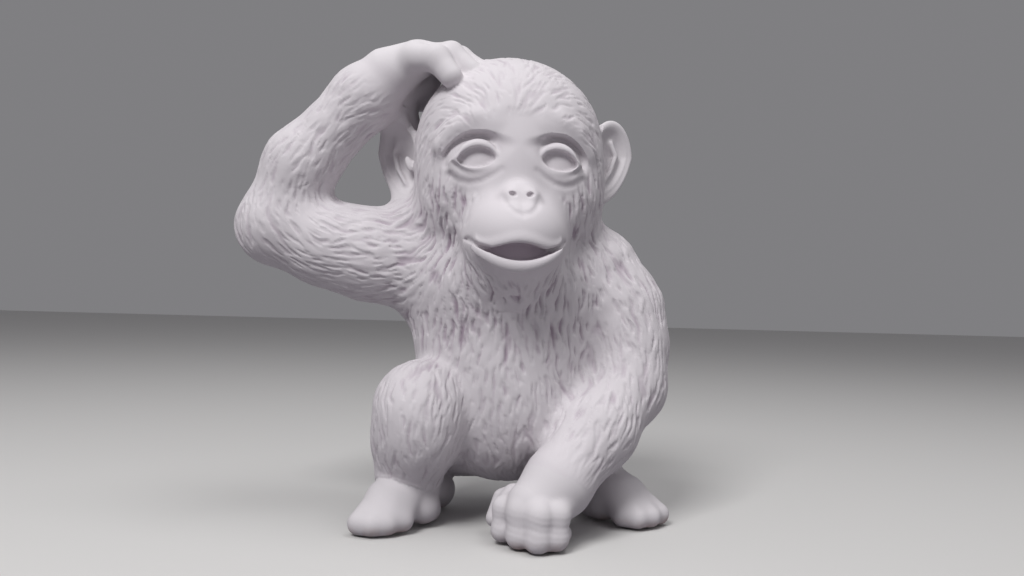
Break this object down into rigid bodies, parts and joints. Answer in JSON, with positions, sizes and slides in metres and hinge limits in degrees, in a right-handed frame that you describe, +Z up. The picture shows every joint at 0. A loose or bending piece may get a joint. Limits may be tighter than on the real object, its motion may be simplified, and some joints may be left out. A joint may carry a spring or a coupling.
{
  "type": "monkey figurine",
  "caption": "Crouching baby ape figurine in unglazed cast ceramic, propped on one fist and scratching its head, for a shelf or table",
  "frame": {"origin": "centre of the overall box, on the table under the figure", "axes": "X across with the ape's left towards +X, -Y the way it looks, Z up"},
  "size_m": [0.1533, 0.0833, 0.1658],
  "materials": {
    "carved_bisque": "matte, carved with fur strokes",
    "smooth_bisque": "matte, fettled smooth"
  },
  "bodies": {
    "root": {"trunk": "carved_bisque", "head": "carved_bisque", "right_upper_arm": "carved_bisque", "right_forearm": "carved_bisque", "left_upper_arm": "carved_bisque", "left_forearm": "carved_bisque", "right_thigh": "carved_bisque", "right_shin": "carved_bisque", "left_thigh": "carved_bisque", "left_shin": "carved_bisque", "left_ear": "smooth_bisque", "right_ear": "smooth_bisque", "right_hand": "smooth_bisque", "left_hand": "smooth_bisque", "right_foot": "smooth_bisque", "left_foot": "smooth_bisque"}
  },
  "joints": []
}
